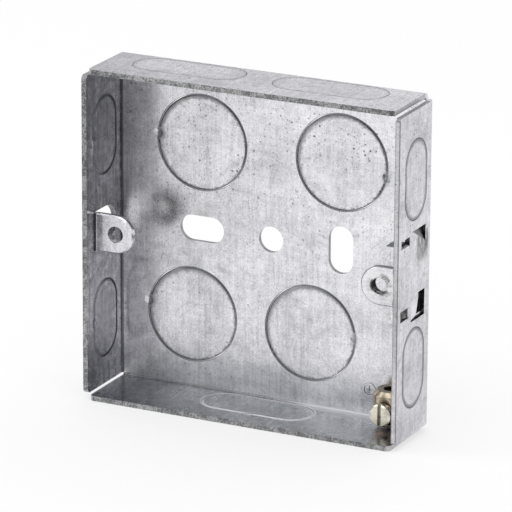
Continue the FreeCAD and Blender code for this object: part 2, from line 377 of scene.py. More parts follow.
@dataclass(frozen=True)
class GalvanisedSheet:
    """Zinc-coated sheet: streaks, clouds, stains, specks, scratches, sheared edges, knock-outs with bands of
    wear and painted shadow, painted shade in folds and lanced tabs, painted light in gaps and painted
    highlights.
    """

    name: str = "galvanised_sheet"
    pale: Colour = (0.97, 0.96, 1.0)
    mid: Colour = (0.47, 0.47, 0.495)
    stain: Colour = (0.30, 0.305, 0.31)
    speck: Colour = (0.08, 0.08, 0.09)
    smudge: Colour = (0.09, 0.09, 0.093)
    dark_edge: Colour = (0.17, 0.17, 0.175)
    light_edge: Colour = (0.50, 0.50, 0.505)
    shade: Colour = (0.05, 0.05, 0.053)
    light_shade: Colour = (0.24, 0.24, 0.25)
    # Colour of the painted shade in the folds
    fold_shade: Colour = (0.06, 0.06, 0.065)
    shear: Colour = (0.32, 0.32, 0.33)
    # Pale colour of painted light in the base's knock-out gaps
    painted_gap_light: Colour = (0.68, 0.68, 0.69)
    # Colour of the knock-outs' bands of wear and painted shadow
    rim_wear_and_shadow: Colour = (0.24, 0.24, 0.255)

    # Sizes of the folded sheet
    front: float = -16.6
    inner_face: float = 34.9
    outer_face: float = 36.0
    base_face: float = -1.1
    bend: float = 1.55
    base_flat: Patch = Patch(x=(-34.2, -34.0, 34.0, 34.2), z=(-34.2, -34.0, 34.0, 34.2))
    hole_row: Patch = Patch(z=(-7.0, -6.5, 6.5, 7.0))
    outer_right: Patch = Patch(x=(35.0, 35.2))
    sign: Pair = (22.9, -29.2)
    sign_edge: Pair = (1.55, 1.65)

    # Facing of a wall, and shifts that keep its marks and the small specks apart
    turned: Pair = (0.5, 0.8)
    side_shift: float = 61.0
    level_shift: float = 97.0
    speck_shift: Pair = (31.7, -17.3)

    # Scratches: direction in degrees and number for each millimetre
    scratch_lines: Tuple[Pair, ...] = ((3.0, 0.3), (-16.0, 0.2), (-52.0, 0.2), (68.0, 0.24))

    # Knock-outs, with the place and darkness of the blot of painted shade on each tie in the base
    rim_width: float = 1.25
    tie_length: float = 1.9
    base_slugs: Tuple[Slug, ...] = (
        Slug(-16.0, 18.8, 0.0, 10.25),
        Slug(16.0, 18.8, 0.0, 10.25),
        Slug(-18.2, -19.0, 0.0, 10.25),
        Slug(9.2, -19.0, 0.0, 10.25),
    )
    ties: Tuple[Tuple[float, float, float], ...] = (
        (-25.4, 19.6, 0.8),
        (26.0, 16.4, 0.4),
        (-27.6, -17.4, 0.6),
        (19.2, -19.2, 0.4),
    )
    side_slug: Slug = Slug(20.0, -8.6, 3.3, 5.1, 0.95, 0.35)
    top_slug: Slug = Slug(16.0, -6.9, 7.75, 4.75, 0.35)
    bottom_slug: Slug = Slug(0.0, -6.9, 7.75, 4.75, 0.25)

    # Fixed lug, with painted shade on its back, inside its hole, in the window behind it and in the fold
    # where it turns in
    lug_hole_x: float = -30.15
    lug_hole_edge: Pair = (1.77, 1.83)
    lug: Patch = Patch(x=(-34.5, -34.3, -26.0, -25.8), y=(-10.7, -10.8), z=(-4.2, -4.15, 4.15, 4.2))
    lug_back: Patch = Patch(x=(-25.8, -25.9), y=(-12.0, -11.95, -10.8, -10.7), z=(-4.2, -4.15, 4.15, 4.2))
    lug_turn: Patch = Patch(
        x=(-34.98, -34.92, -34.7, -34.5), y=(-13.7, -13.55, -12.9, -12.8), z=(-4.2, -4.1, 4.1, 4.2)
    )
    lug_hole: Patch = Patch(y=(-10.7, -10.8), z=(-1.5, 0.2))
    lug_window: Patch = Patch(
        x=(-36.0, -35.95, -35.0, -34.93), y=(-11.9, -11.8, -3.0, -2.8), z=(-4.4, -4.3, 4.3, 4.4)
    )

    # Guide of the sliding lug in the right wall, with painted shade on its lanced tabs and openings, all but
    # the lower flap, and on the shelf
    guide: Patch = Patch(
        x=(34.93, 34.99, 35.85, 35.95), y=(-16.3, -16.1, -1.65, -1.55), z=(-10.2, -10.1, 10.1, 10.2)
    )
    lower_flap: Patch = Patch(y=(-11.0, -10.9), z=(-4.0, -4.1))
    shelf: Patch = Patch(x=(32.3, 32.5, 34.9, 35.0), y=(-10.9, -11.0), z=(7.2, 7.3, 7.5, 7.6))

    # Painted highlights, smudged and filmed places
    flap_highlight: Patch = Patch(x=(35.0, 35.2), y=(-10.7, -9.5, -6.7, -6.5), z=(-9.6, -9.3, -7.0, -5.3))
    fold_highlight: Patch = Patch(x=(0.0, 14.0, 23.5, 25.5), y=(-4.2, -2.4, -1.1, -1.05), z=(-34.4, -34.6))
    side_glint: Patch = Patch(x=(-34.8, -34.85), y=(-12.6, -12.9), z=(16.6, 17.2, 19.6, 20.4))
    below_flap: Patch = Patch(y=(-8.5, -6.5, -2.6, -1.6), z=(0.5, 4.0, 7.0, 9.0))
    left_film: Patch = Patch(x=(-25.0, -31.0), z=(2.0, 9.0))
    bottom_film: Patch = Patch(z=(-24.0, -31.0))
    outer_line: Patch = Patch(x=(35.7, 35.85))
    inner_line: Patch = Patch(x=(34.85, 34.9, 35.0, 35.15))

    def material(self) -> bpy.types.Material:
        """Builds the finish.

        Returns:
            The sheet's material.
        """
        desk = ShaderDesk(bpy.data.materials.new(self.name))
        spot = desk.spot()
        x, y, z = spot.x, spot.y, spot.z
        on_side = abs(spot.nx).rise(*self.turned)
        on_level = abs(spot.nz).rise(*self.turned)
        across = x + (y - x) * on_side + on_side * self.side_shift
        along = z + (y - z) * on_level + on_level * self.level_shift
        cloud = desk.noise(spot.solid, 0.085, 4.0, 0.6)
        mottle = desk.noise(spot.solid, 0.55, 4.0, 0.65)
        grain = desk.noise(spot.solid, 2.6, 3.0, 0.65)
        streak = desk.noise(desk.vector(across, along * 0.03), 1.3, 4.0, 0.65)
        cross = desk.noise(desk.vector(across * 0.05, along), 0.9, 2.0, 0.5)
        crowd = desk.noise(spot.solid, 0.11, 3.0, 0.6).rise(0.36, 0.6) * (0.5 + z.rise(-10.0, 25.0) * 0.5)
        large = desk.dots(across, along, scale=0.8, radius=0.24, share=0.42)
        aside, above = across + self.speck_shift[0], along + self.speck_shift[1]
        small = desk.dots(aside, above, scale=1.9, radius=0.3, share=0.24)
        specks = (large * crowd).over(small * crowd)
        scratches = self.scratched(desk, across, along)
        stains = desk.noise(spot.solid, 0.17, 5.0, 0.72).rise(0.53, 0.72)
        worn_rims_and_shadows = self.worn_rims_and_shadows(spot)
        painted_highlights = self.painted_highlights(spot)
        parted = self.parted(spot)
        raised = self.raised(spot)
        on_front = (y - self.front).fall(0.02, 0.08)
        on_right = x.rise(self.inner_face - 0.1, self.inner_face)
        on_left = x.fall(0.05 - self.inner_face, 0.1 - self.inner_face) * spot.nx.rise(*self.turned)
        on_lug = self.lug.mask(spot)
        tone = 0.5 + x * 0.005 + swing((cloud, 1.5), (mottle, 1.0), (streak, 0.9), (cross, 0.3))
        tone = tone + (grain - 0.5) * 1.3 + on_lug * 0.35 + on_left * swing((mottle, 1.6), (streak, 1.2))
        shade = desk.blend((mottle * 0.5 + grain * 0.5).rise(0.42, 0.6), self.shade, self.light_shade)
        edge = desk.blend((grain + (mottle - 0.5) * 0.8).rise(0.36, 0.66), self.dark_edge, self.light_edge)
        lines = self.outer_line.mask(spot).over(self.inner_line.mask(spot) * 0.6)
        colour = desk.coats(
            self.mid,
            (tone, self.pale),
            (stains * 0.36 * (1.0 - on_lug), self.stain),
            (specks * 0.85, self.speck),
            (scratches * 0.17, self.speck),
            # Painted shade in the folds
            (self.painted_fold_shade(spot) * 0.85, self.fold_shade),
            # Knock-out bands of wear and painted shadow, and painted shade on the ties
            (worn_rims_and_shadows * (0.15 + mottle * 0.6 + grain * 0.65), self.rim_wear_and_shadow),
            # Painted highlights
            (painted_highlights, self.pale),
            (self.grime(spot, mottle), self.smudge),
            (self.sheared(spot), self.shear),
            # Painted light: the base's torn faces drawn pale; the holes' faces take the cut colour again
            (parted, self.painted_gap_light),
            (parted * self.hole_row.mask(spot), self.shear),
            # Earth sign: paler on its top, with painted shade on its sloped sides
            (raised * (0.3 + grain.rise(0.4, 0.6) * 0.7), self.pale),
            (raised * abs(spot.ny).fall(0.8, 0.95) * 0.8, self.speck),
            (self.shaded(spot), shade),
            (on_front * (1.0 - on_right * 0.85), edge),
            (on_front * lines * (0.4 + grain * 0.7), self.dark_edge),
        )
        film = self.left_film.mask(spot).over(self.bottom_film.mask(spot) * 0.7) * spot.ny.fall(-0.9, -0.7)
        rough = 0.25 + swing((cloud, 0.16), (mottle, 0.12), (streak, 0.12)) + specks * 0.2 + film * 0.2
        rough = rough + worn_rims_and_shadows * 0.14 + on_front * 0.15 + stains * 0.06 + painted_highlights * 0.4
        height = streak * 0.4 + grain * 0.3 + mottle * 0.6 - specks * 0.3 - scratches * 0.25
        return desk.metal(colour, rough, height, 0.34)

    def painted_highlights(self, spot: Spot) -> Value:
        """Painted highlights: on the outlines of two knock-outs, the lower flap and the bottom fold's end.

        Args:
            spot: Shaded point.

        Returns:
            A mask that is 1 on those places.
        """
        on_bottom = spot.z.fall(0.02 - self.inner_face, 0.3 - self.inner_face)
        line = self.bottom_slug.depth(spot.x, spot.y).within(-0.5, -0.25, 0.35, 0.6) * on_bottom
        glint = self.side_slug.depth(spot.z, spot.y).within(-0.35, -0.2, 0.1, 0.3)
        glint = glint * self.side_glint.mask(spot)
        return largest((line, glint, self.flap_highlight.mask(spot), self.fold_highlight.mask(spot) * 0.75))

    def grime(self, spot: Spot, mottle: Value) -> Value:
        """Grey smudges on the outer face of the right wall, thickest below the upper flap.

        Args:
            spot: Shaded point.
            mottle: Fine unevenness.

        Returns:
            A mask that is 1 on the smudges.
        """
        desk = spot.desk
        streaks = desk.noise(desk.vector(spot.y, spot.z * 0.3, 7.0), 0.8, 5.0, 0.75).rise(0.36, 0.56)
        patches = desk.noise(desk.vector(spot.y, spot.z, 19.0), 0.22, 5.0, 0.75).rise(0.5, 0.7)
        smudge = self.below_flap.mask(spot) * (0.3 + streaks * 0.55)
        outside = spot.nx.rise(0.9, 0.95) * self.outer_right.mask(spot)
        return (patches * (0.05 + mottle * 0.4)).over(smudge) * outside

    def painted_fold_shade(self, spot: Spot) -> Value:
        """Painted shade: a dark line in the folds round the base, faint along the bottom, and where the
        fixed lug turns in.

        Args:
            spot: Shaded point.

        Returns:
            A mask that is 1 in the folds.
        """
        start, end = self.outer_face - self.bend, self.inner_face + 0.05
        upper = abs(spot.x).rise(start, start + 0.1).over(spot.z.rise(start, start + 0.1))
        lower = spot.z.fall(-start - 0.1, -start) * 0.6
        inside = abs(spot.x).over(abs(spot.z)).fall(end, end + 0.05)
        near, far = -self.bend, self.base_face
        depth = spot.y.within(near - 0.05, near + 0.1, far + 0.05, far + 0.1)
        return (upper.over(lower) * inside * depth).over(self.lug_turn.mask(spot))

    def sheared(self, spot: Spot) -> Value:
        """Dull bare faces inside the walls' thickness, along every cut outline.

        Args:
            spot: Shaded point.

        Returns:
            A mask that is 1 on those faces, and less where the outline is hardly opened.
        """
        low, high = self.inner_face + 0.03, self.outer_face - 0.03
        thickness = (low, low + 0.06, high - 0.06, high)
        cut = abs(spot.ny).over(abs(spot.nz)).rise(0.4, 0.6) * (spot.y - self.front).rise(0.05, 0.15)
        side = abs(spot.x).within(*thickness) * cut
        level = abs(spot.z).within(*thickness) * abs(spot.nz).fall(0.6, 0.8) * 0.5
        return side.over(level) * spot.y.fall(-self.bend - 0.1, -self.bend)

    def parted(self, spot: Spot) -> Value:
        """Torn faces inside the base's thickness, along its knock-outs and holes, which take a pale colour
        as painted light in the gaps.
        """
        thickness = spot.y.within(self.base_face + 0.03, self.base_face + 0.09, -0.09, -0.03)
        return thickness * self.base_flat.mask(spot) * abs(spot.ny).fall(0.6, 0.8)

    def raised(self, spot: Spot) -> Value:
        """Stamped earth sign, which stands up from the base."""
        from_sign = radius_of(spot.x - self.sign[0], spot.z - self.sign[1])
        return from_sign.fall(*self.sign_edge) * spot.y.fall(self.base_face - 0.04, self.base_face - 0.02)

    def shaded(self, spot: Spot) -> Value:
        """Painted shade on the lanced tabs and openings in the right wall, the shelf, the window behind the
        fixed lug, its back and the inside of its hole.

        Args:
            spot: Shaded point.

        Returns:
            A mask that is 1 on those faces.
        """
        guide = self.guide.mask(spot) * (1.0 - spot.nx.rise(0.8, 0.9) * self.lower_flap.mask(spot))
        behind = spot.ny.rise(0.3, 0.6) * self.lug_back.mask(spot)
        from_hole = radius_of(spot.x - self.lug_hole_x, spot.z)
        hole = from_hole.fall(*self.lug_hole_edge) * self.lug_hole.mask(spot)
        shelf = self.shelf.mask(spot)
        return largest((guide, shelf * 0.7, self.lug_window.mask(spot), behind * 0.75, hole * 0.8))

    def scratched(self, desk: ShaderDesk, across: Value, along: Value) -> Value:
        """Long thin scratches in four directions, each broken into stretches.

        Args:
            desk: Tree to add to.
            across: Distance across the rolling direction.
            along: Distance along it.

        Returns:
            A mask that is 1 on the scratches.
        """
        lines = []
        for degrees, spacing in self.scratch_lines:
            turn = math.radians(degrees)
            u = across * math.cos(turn) + along * math.sin(turn) + degrees
            v = along * math.cos(turn) - across * math.sin(turn)
            wave = desk.noise(desk.vector(u, v * 0.03, degrees), spacing, 1.0)
            broken = desk.noise(desk.vector(u * 0.6, v, degrees), 0.16, 2.0).rise(0.53, 0.65)
            lines.append(abs(wave - 0.5).fall(0.004, 0.022) * broken)
        return largest(lines)

    def worn_rims_and_shadows(self, spot: Spot) -> Value:
        """Grey band just inside each knock-out's outline, partly wear and partly painted shadow, wider
        towards the upper left in the base, with a blot of painted shade on each tie.

        Args:
            spot: Shaded point.

        Returns:
            A mask that is 1 in the bands.
        """
        x, y, z = spot.x, spot.y, spot.z
        ragged = (spot.desk.noise(spot.solid, 1.0, 5.0, 0.75) - 0.5) * 2.4
        on_base = (y - self.base_face).rise(-0.45, -0.4) * self.base_flat.mask(spot)
        near_wall = (self.inner_face - 0.3, self.inner_face - 0.2)
        bands = []
        for slug in self.base_slugs:
            depth = slug.depth(x, z)
            lean = ((z - slug.across) - (x - slug.along)) / slug.radius
            width = self.rim_width * (0.66 + lean * 0.24) + ragged
            bands.append((depth / width.over(0.15)).fall(0.35, 1.25) * depth.rise(-0.3, -0.2) * on_base)
        for tie_x, tie_z, darkness in self.ties:
            from_tie = radius_of(x - tie_x, (z - tie_z) / self.tie_length)
            bands.append((from_tie + ragged * 0.5).fall(0.5, 1.1) * darkness * on_base)
        walls = (
            (abs(z), self.side_slug, abs(x).rise(*near_wall)),
            (abs(x), self.top_slug, z.rise(*near_wall)),
            (x, self.bottom_slug, (0.0 - z).rise(*near_wall)),
        )
        for u, slug, on_wall in walls:
            depth = slug.depth(u, y)
            band = (depth - ragged * 0.4).fall(0.3, 0.9) * depth.rise(-0.4, -0.15)
            bands.append(band * on_wall * slug.band_wear_and_shadow)
            if slug.face_wear:
                on_left = on_wall * x.fall(0.0, 0.1)
                bands.append((depth + ragged).rise(0.0, 2.5) * on_left * slug.face_wear)
        return largest(bands)


@dataclass(frozen=True)
class PlatedSteel:
    """Bright zinc plating on a pressed lug: fine brushing, a dark ring round its hole, and painted shade in
    its bore, along its rounded end's edge and on its face against the wall.
    """

    name: str = "plated_lug"
    pale: Colour = (0.95, 0.94, 0.98)
    mid: Colour = (0.48, 0.48, 0.505)
    # Colour of the dark ring and of painted shade
    ring_and_painted_shade: Colour = (0.11, 0.105, 0.10)
    smear: Colour = (0.22, 0.195, 0.17)
    hole_x: float = 30.15
    hole_z: float = -2.15
    hole_radius: float = 1.75
    end_radius: float = 4.1
    bend_start: Pair = (33.0, 33.4)
    wall_face: float = 34.84

    def material(self) -> bpy.types.Material:
        """Builds the finish.

        Returns:
            The lug's material.
        """
        desk = ShaderDesk(bpy.data.materials.new(self.name))
        spot = desk.spot()
        x, y, z = spot.x, spot.y, spot.z
        cloud = desk.noise(spot.solid, 0.3, 3.0, 0.6)
        grain = desk.noise(spot.solid, 3.0, 3.0, 0.6)
        brushed = desk.noise(desk.vector(x * 0.08, y, z), 1.6, 3.0, 0.6)
        blotch = desk.noise(spot.solid, 1.3, 4.0, 0.7).rise(0.42, 0.6)
        hatch = desk.vector(x * 0.9 - z * 1.1, y, x * 0.2 + z * 0.2)
        marks = desk.noise(hatch, 3.2, 2.0, 0.6).rise(0.44, 0.56)
        off_x = x - self.hole_x
        off_z = z - self.hole_z
        from_hole = radius_of(off_x, off_z) - self.hole_radius
        bore = from_hole.fall(0.0, 0.05) * (0.35 + blotch * 0.6)
        span = (from_hole + self.hole_radius).over(0.5)
        left = (off_x / span).fall(-0.95, -0.65)
        low = ((off_x * 0.6 - off_z * 0.8) / span).rise(0.75, 0.95)
        high = ((off_x * 0.75 + off_z * 0.66) / span).rise(0.66, 0.88)
        ring = (from_hole - (grain - 0.5) * 0.4).fall(0.1, 0.5) * (0.15 + left * 0.85).over(low * 0.8)
        smear = from_hole.fall(0.4, 1.6) * (0.15 + blotch * 0.85) * (left * 0.5).over(low * 0.75)
        smear = smear.over(from_hole.fall(0.7, 1.5) * high * (0.2 + marks * 0.8))
        from_rim = self.end_radius - radius_of(off_x.under(0.0), off_z)
        outline = (from_rim - (grain - 0.5) * 0.12).fall(0.12, 0.26) * x.fall(*self.bend_start)
        hidden = spot.nx.rise(0.5, 0.6) * x.rise(self.wall_face - 0.1, self.wall_face - 0.05)
        tone = 0.78 + swing((cloud, 1.2), (brushed, 0.9), (grain, 1.3))
        # Painted shade in the bore, along the rounded end's edge and on the face hidden against the wall,
        # with the dark ring round the hole
        dark = largest((ring, bore, outline * 0.7, hidden * (0.8 + blotch * 0.2)))
        colour = desk.coats(self.mid, (tone, self.pale), (smear * 0.8, self.smear), (dark, self.ring_and_painted_shade))
        rough = 0.25 + (cloud - 0.5) * 0.15 + smear * 0.15 + outline * 0.1
        return desk.metal(colour, rough, brushed * 0.4 + grain * 0.35, 0.3)


@dataclass(frozen=True)
class TurnedBrass:
    """Brass with lathe marks about its axis, tarnish, painted shade on its sides that face back and down and
    in a screw's slot, and thread grooves on a shank.
    """

    name: str
    turning: Turning
    centre: Pair
    pale: Colour = (0.93, 0.91, 0.81)
    mid: Colour = (0.68, 0.64, 0.52)
    # Colour of tarnish and of painted shade
    tarnish_and_shade: Colour = (0.13, 0.095, 0.06)
    stained: float = 0.45
    groove_radius: float = 0.0
    pitch: float = 0.6
    slot_half: float = 0.0
    face: float = 0.0

    def material(self) -> bpy.types.Material:
        """Builds the finish.

        Returns:
            The brass piece's material.
        """
        desk = ShaderDesk(bpy.data.materials.new(self.name))
        spot = desk.spot()
        level, run = (spot.y, spot.z) if self.turning is Turning.UPRIGHT else (spot.z, spot.y)
        off_x = spot.x - self.centre[0]
        radius = radius_of(off_x, level - self.centre[1])
        cloud = desk.noise(spot.solid, 0.45, 4.0, 0.65)
        grain = desk.noise(spot.solid, 4.0, 2.0, 0.6)
        rings = desk.noise(desk.vector(radius, run), 7.0, 2.0, 0.5)
        stain = (cloud + (grain - 0.5) * 0.3).rise(0.5, 0.7)
        # Painted shade on the sides that face back and down
        shadow_sides = spot.ny.rise(0.1, 0.6).over(spot.nz.fall(-0.6, -0.1))
        tone = 0.5 + swing((cloud, 0.9), (rings, 0.9), (grain, 0.5))
        tarnish_and_shade_mask = (stain * self.stained).over(shadow_sides * 0.85)
        colour = desk.coats(self.mid, (tone, self.pale), (tarnish_and_shade_mask, self.tarnish_and_shade))
        height = rings * 0.6 + grain * 0.25
        if self.groove_radius:
            on_shank = radius.fall(self.groove_radius, self.groove_radius + 0.05)
            height = height + (run * (2.0 * math.pi / self.pitch)).sine() * on_shank * 2.0
        if self.slot_half:
            # Painted shade, with tarnish, in the screw's slot
            slot = abs(off_x).fall(self.slot_half + 0.01, self.slot_half + 0.05)
            slot = slot * spot.y.rise(self.face + 0.05, self.face + 0.15)
            colour = desk.blend(slot * (0.45 + stain * 0.4), colour, self.tarnish_and_shade)
        rough = 0.24 + (rings - 0.5) * 0.15 + stain * 0.2
        return desk.metal(colour, rough, height, 0.4)


@dataclass(frozen=True)
class TappedHole:
    """Tapped hole that runs into the wall through a lug, in metres."""

    x: float
    z: float
    length: float
    face: float = -13.0 * MM
    radius: float = 1.75 * MM
    pitch: float = 0.6 * MM
    ridge: float = 0.12 * MM

    def sizes(self) -> Tuple[float, float, float, float]:
        """Radius, pitch, number of turns and ridge height of its thread."""
        return self.radius, self.pitch, (self.length - 2.0 * self.ridge) / self.pitch, self.ridge

    def mouth(self) -> Vector:
        """Point on its axis where the thread starts."""
        return Vector((self.x, self.face + self.ridge, self.z))


class ThreadForm:
    """Screw thread on the wall of a tapped hole, swept along a helix by a node tree with named sizes."""

    INPUTS = ("Radius", "Pitch", "Turns", "Ridge")
    STEPS = 40
    CORNERS = 4

    def __init__(self, finish: bpy.types.Material) -> None:
        """Builds the node tree.

        Args:
            finish: Material of the ridges.
        """
        self.finish = finish
        self.tree = bpy.data.node_groups.new("thread_ridge", "GeometryNodeTree")
        for name in self.INPUTS:
            self.tree.interface.new_socket(name=name, in_out="INPUT", socket_type="NodeSocketFloat")
        self.tree.interface.new_socket(name="Geometry", in_out="OUTPUT", socket_type="NodeSocketGeometry")
        self.wire()

    def wire(self) -> None:
        """Adds the nodes and joins them."""
        desk = NodeDesk(self.tree)
        sizes = desk.node("NodeGroupInput", {}, {}).outputs
        rise = desk.node("ShaderNodeMath", {"operation": "MULTIPLY"}, {0: sizes["Pitch"], 1: sizes["Turns"]})
        winding = {
            "Resolution": self.STEPS,
            "Rotations": sizes["Turns"],
            "Start Radius": sizes["Radius"],
            "End Radius": sizes["Radius"],
            "Height": rise.outputs[0],
        }
        helix = desk.node("GeometryNodeCurveSpiral", {}, winding)
        section = {"Resolution": self.CORNERS, "Radius": sizes["Ridge"]}
        profile = desk.node("GeometryNodeCurvePrimitiveCircle", {}, section)
        upright = desk.node("GeometryNodeSetCurveNormal", {"mode": "Z_UP"}, {"Curve": helix.outputs[0]})
        route = {
            "Curve": upright.outputs["Curve"],
            "Profile Curve": profile.outputs["Curve"],
            "Fill Caps": True,
        }
        sweep = desk.node("GeometryNodeCurveToMesh", {}, route)
        whole = desk.node("GeometryNodeRealizeInstances", {}, {"Geometry": sweep.outputs["Mesh"]})
        coat = {"Geometry": whole.outputs["Geometry"], "Material": self.finish}
        coated = desk.node("GeometryNodeSetMaterial", {}, coat)
        desk.node("NodeGroupOutput", {}, {"Geometry": coated.outputs["Geometry"]})

    def make(self, name: str, hole: TappedHole) -> bpy.types.Object:
        """Sweeps one thread and sets it in its hole.

        Args:
            name: Name of the piece.
            hole: Hole that the thread is in.

        Returns:
            The thread as a plain mesh object at the origin.
        """
        carrier = linked(name + "_sweep", bpy.data.meshes.new(name + "_sweep"))
        sweep = carrier.modifiers.new("thread", "NODES")
        sweep.node_group = self.tree
        inputs = [item for item in self.tree.interface.items_tree if item.in_out == "INPUT"]
        for item, size in zip(inputs, hole.sizes()):
            sweep[item.identifier] = size
        graph = bpy.context.evaluated_depsgraph_get()
        mesh = bpy.data.meshes.new_from_object(carrier.evaluated_get(graph))
        carrier.modifiers.remove(sweep)
        bpy.data.objects.remove(carrier)
        mesh.name = name
        mesh.transform(Matrix.Translation(hole.mouth()) @ Matrix.Rotation(math.radians(-90.0), 4, "X"))
        return linked(name, mesh)


def linked(name: str, content: Any) -> bpy.types.Object:
    """Puts a mesh, a lamp or a camera in the scene as an object at the origin.

    Args:
        name: Name of the object.
        content: Its data.

    Returns:
        The object.
    """
    piece = bpy.data.objects.new(name, content)
    bpy.context.scene.collection.objects.link(piece)
    return piece


def dressed(node: str, finish: bpy.types.Material) -> None:
    """Gives a solid its finish.

    Args:
        node: Name of the solid.
        finish: Material for all of it.
    """
    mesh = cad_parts[node].data
    mesh.materials.clear()
    mesh.materials.append(finish)
    LOG.info("%s: %s", node, finish.name)


@dataclass
class EarthSign:
    """Plain earth sign stamped up from the base: a ring round a stem and three bars."""

    centre_x: float = 22.9 * MM
    centre_z: float = -29.2 * MM
    base_face: float = -1.1 * MM
    ring_radius: float = 1.3 * MM
    line: float = 0.22 * MM
    rise: float = 0.22 * MM
    sunk: float = 0.03 * MM
    crown: float = 0.45
    slope: float = 0.4
    steps: int = 40
    bars: Tuple[Tuple[float, float, float], ...] = (
        (0.42 * MM, 0.08 * MM, 0.34 * MM),
        (0.02 * MM, 0.72 * MM, 0.08 * MM),
        (-0.3 * MM, 0.46 * MM, 0.08 * MM),
        (-0.62 * MM, 0.2 * MM, 0.08 * MM),
    )

    def build(self, finish: bpy.types.Material) -> bpy.types.Object:
        """Models the sign.

        Args:
            finish: Material of the sheet that it is stamped in.

        Returns:
            The sign as one mesh object.
        """
        form = bmesh.new()
        self.ring(form)
        for up, half_width, half_height in self.bars:
            self.bar(form, up, half_width, half_height)
        bmesh.ops.recalc_face_normals(form, faces=form.faces)
        mesh = bpy.data.meshes.new("earth_sign")
        form.to_mesh(mesh)
        form.free()
        mesh.materials.append(finish)
        return linked("earth_sign", mesh)

    def ring(self, form: bmesh.types.BMesh) -> None:
        """Adds the ring, with sloped sides.

        Args:
            form: Mesh to add to.
        """
        foot, top = -self.sunk, self.rise
        profile = ((-1.0, foot), (-self.crown, top), (self.crown, top), (1.0, foot))
        loops = []
        for step in range(self.steps):
            turn = 2.0 * math.pi * step / self.steps
            loop = []
            for side, height in profile:
                radius = self.ring_radius + side * self.line
                x = self.centre_x + radius * math.cos(turn)
                z = self.centre_z + radius * math.sin(turn)
                loop.append(form.verts.new((x, self.base_face - height, z)))
            loops.append(loop)
        for step, loop in enumerate(loops):
            after = loops[(step + 1) % self.steps]
            for corner in range(len(profile)):
                beside = (corner + 1) % len(profile)
                form.faces.new((loop[corner], loop[beside], after[beside], after[corner]))

    def bar(self, form: bmesh.types.BMesh, up: float, half_width: float, half_height: float) -> None:
        """Adds one raised bar with sloped sides.

        Args:
            form: Mesh to add to.
            up: Offset above the sign's centre.
            half_width: Half of its width at the foot.
            half_height: Half of its height at the foot.
        """
        rows = []
        for height, shrink in ((-self.sunk, 0.0), (self.rise, self.slope * self.line)):
            row = []
            for side_x, side_z in ((-1, -1), (1, -1), (1, 1), (-1, 1)):
                x = self.centre_x + side_x * (half_width - shrink)
                z = self.centre_z + up + side_z * (half_height - shrink)
                row.append(form.verts.new((x, self.base_face - height, z)))
            rows.append(row)
        foot, top = rows
        form.faces.new(foot)
        form.faces.new(top)
        for corner in range(4):
            beside = (corner + 1) % 4
            form.faces.new((foot[corner], foot[beside], top[beside], top[corner]))


@dataclass
class BoxShell:
    """Folded box with the thread of its fixed lug and the stamped earth sign."""

    hole: TappedHole = TappedHole(-30.15 * MM, 0.0, 2.1 * MM)
    sign: EarthSign = field(default_factory=EarthSign)

    def build(self, finish: bpy.types.Material, threads: ThreadForm) -> None:
        """Dresses the solid and adds its small pieces.

        Args:
            finish: Material of the sheet.
            threads: Maker of the lug's thread.
        """
        dressed("box_shell", finish)
        thread = threads.make("fixed_lug_thread", self.hole)
        for piece in (thread, self.sign.build(finish)):
            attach(piece, "box")
            LOG.info("%s rides on box", piece.name)


@dataclass
class AdjustableLug:
    """Sliding lug with the thread in its plunged hole."""

    hole: TappedHole = TappedHole(30.15 * MM, -2.15 * MM, 2.2 * MM)

    def build(self, finish: bpy.types.Material, threads: ThreadForm) -> None:
        """Dresses the solid and adds its thread.

        Args:
            finish: Material of the plating.
            threads: Maker of the thread.
        """
        dressed("adjustable_lug", finish)
        thread = threads.make("adjustable_lug_thread", self.hole)
        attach(thread, "lug")
        LOG.info("%s rides on lug", thread.name)


@dataclass
class EarthTerminal:
    """Brass pillar and its clamping screw, in millimetres."""

    axis_x: float = 29.2
    pillar_y: float = -4.35
    screw_z: float = -31.2
    groove_radius: float = 1.72
    slot_half: float = 0.4
    screw_face: float = -10.0
    pillar_pale: Colour = (0.66, 0.59, 0.47)
    pillar_mid: Colour = (0.36, 0.30, 0.21)
    pillar_stained: float = 0.7

    def build(self) -> None:
        """Dresses the pillar and the screw."""
        pillar = TurnedBrass(
            "brass_pillar",
            Turning.UPRIGHT,
            (self.axis_x, self.pillar_y),
            pale=self.pillar_pale,
            mid=self.pillar_mid,
            stained=self.pillar_stained,
        )
        screw = TurnedBrass(
            "brass_screw",
            Turning.INTO_WALL,
            (self.axis_x, self.screw_z),
            groove_radius=self.groove_radius,
            slot_half=self.slot_half,
            face=self.screw_face,
        )
        dressed("earth_terminal", pillar.material())
        dressed("earth_screw", screw.material())


@dataclass(frozen=True)
class Softbox:
    """One large soft lamp, aimed at the box."""

    name: str
    place: Point
    width: float
    height: float
    watts: float


@dataclass(frozen=True)
class Card:
    """Plain card near the box that shows only in the metal, as its corners and its colour."""

    name: str
    corners: Tuple[Point, ...]
    colour: Colour


